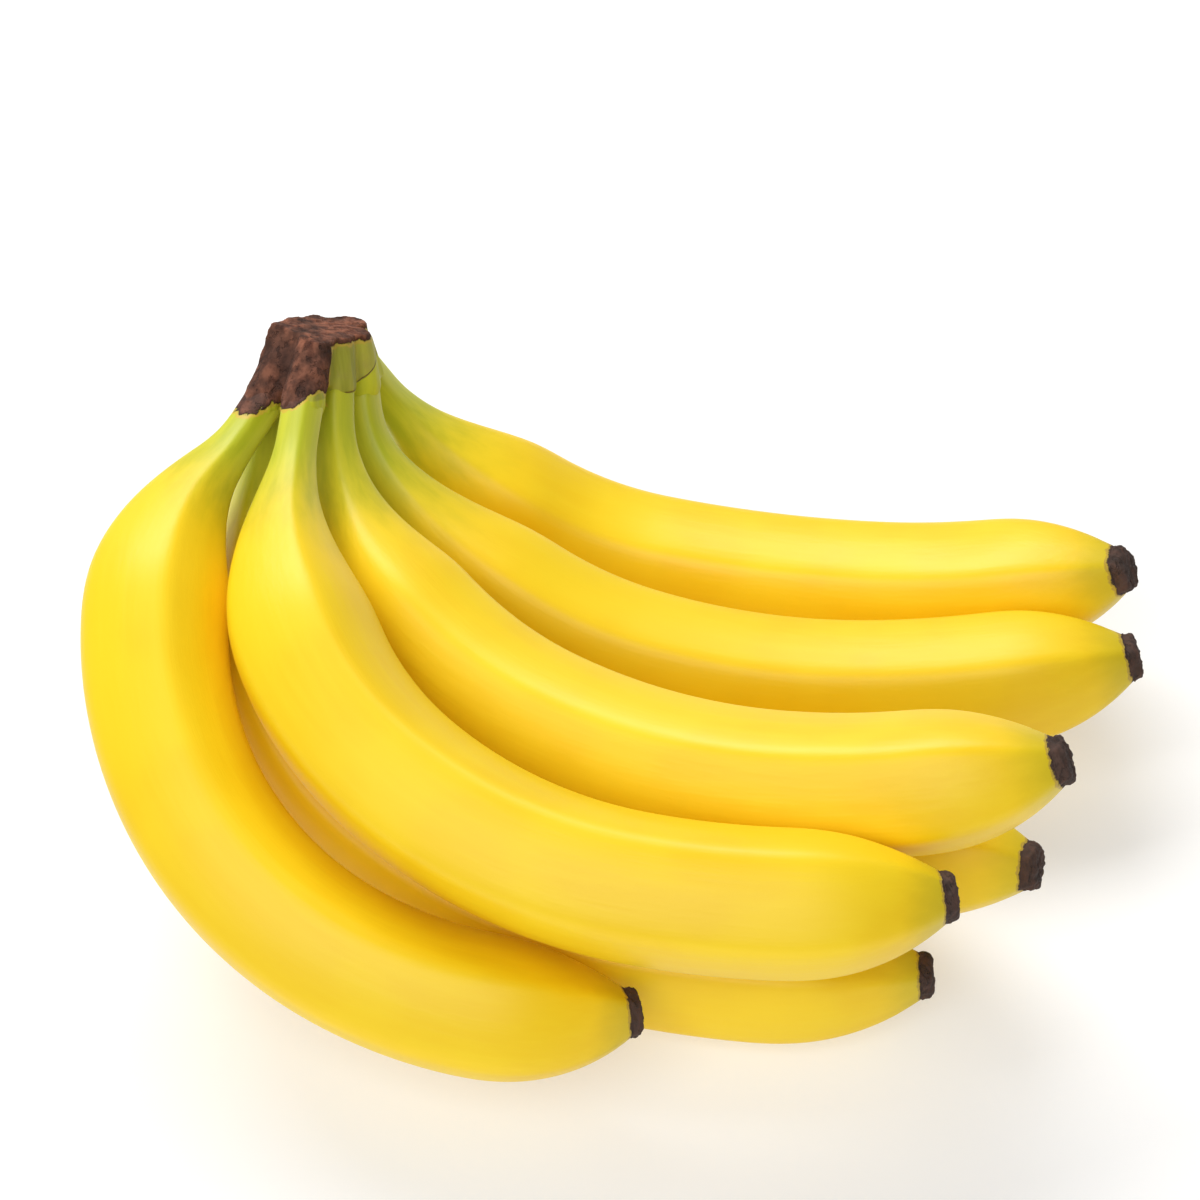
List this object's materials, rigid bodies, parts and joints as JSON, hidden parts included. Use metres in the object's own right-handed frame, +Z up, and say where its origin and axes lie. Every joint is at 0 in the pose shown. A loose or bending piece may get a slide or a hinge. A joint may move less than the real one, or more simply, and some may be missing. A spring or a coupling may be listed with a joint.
{
  "type": "bunch of bananas",
  "caption": "Bunch of ripe yellow bananas: curved fingers with slim necks and dark tips fanning out from one woody cut crown, lying on a surface.",
  "frame": {"origin": "on the surface that the bunch lies on, under the middle of its box", "axes": "+Z up, +X from the crown's side towards the tips, +Y from the front fingers towards the back ones"},
  "size_m": [0.2525, 0.1896, 0.1027],
  "materials": {
    "peel": "satin waxy yellow peel, green at the necks and tips, dark dry flower ends",
    "crown_wood": "raw brown cut, rough and dry, with a green skin on the outer side"
  },
  "bodies": {
    "root": {"crown": "crown_wood", "banana_a": "peel", "banana_b": "peel", "banana_c": "peel", "banana_d": "peel", "banana_e": "peel", "banana_f": "peel", "banana_g": "peel"}
  },
  "joints": []
}
